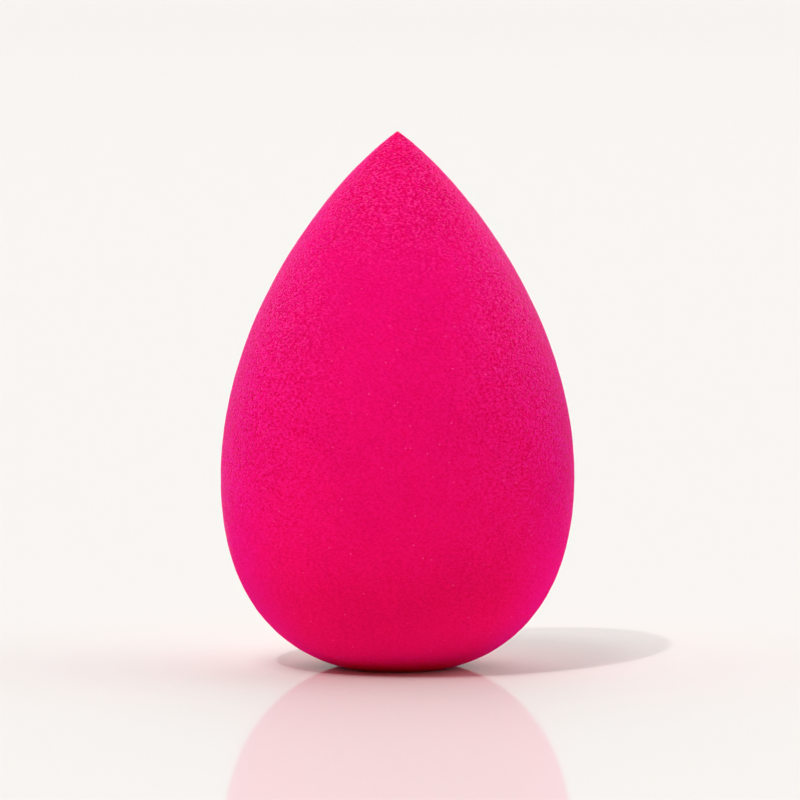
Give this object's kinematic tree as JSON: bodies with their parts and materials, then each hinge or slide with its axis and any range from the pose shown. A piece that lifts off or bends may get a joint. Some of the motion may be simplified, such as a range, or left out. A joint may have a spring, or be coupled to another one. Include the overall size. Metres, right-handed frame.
{
  "type": "makeup sponge",
  "caption": "Solid teardrop foam sponge with a round belly, a pointed tip and a small flat foot, for pressing and blending makeup on the skin.",
  "frame": {"origin": "centre of the flat foot, on the surface that the sponge stands on", "axes": "+Z along the sponge's axis of symmetry, from the foot to the tip; X and Y are any two square directions across it"},
  "size_m": [0.0396, 0.0396, 0.06],
  "materials": {
    "foam": "matte hot pink open-cell foam with a fine velvety grain"
  },
  "bodies": {
    "root": {"foam_body": "foam"}
  },
  "joints": []
}
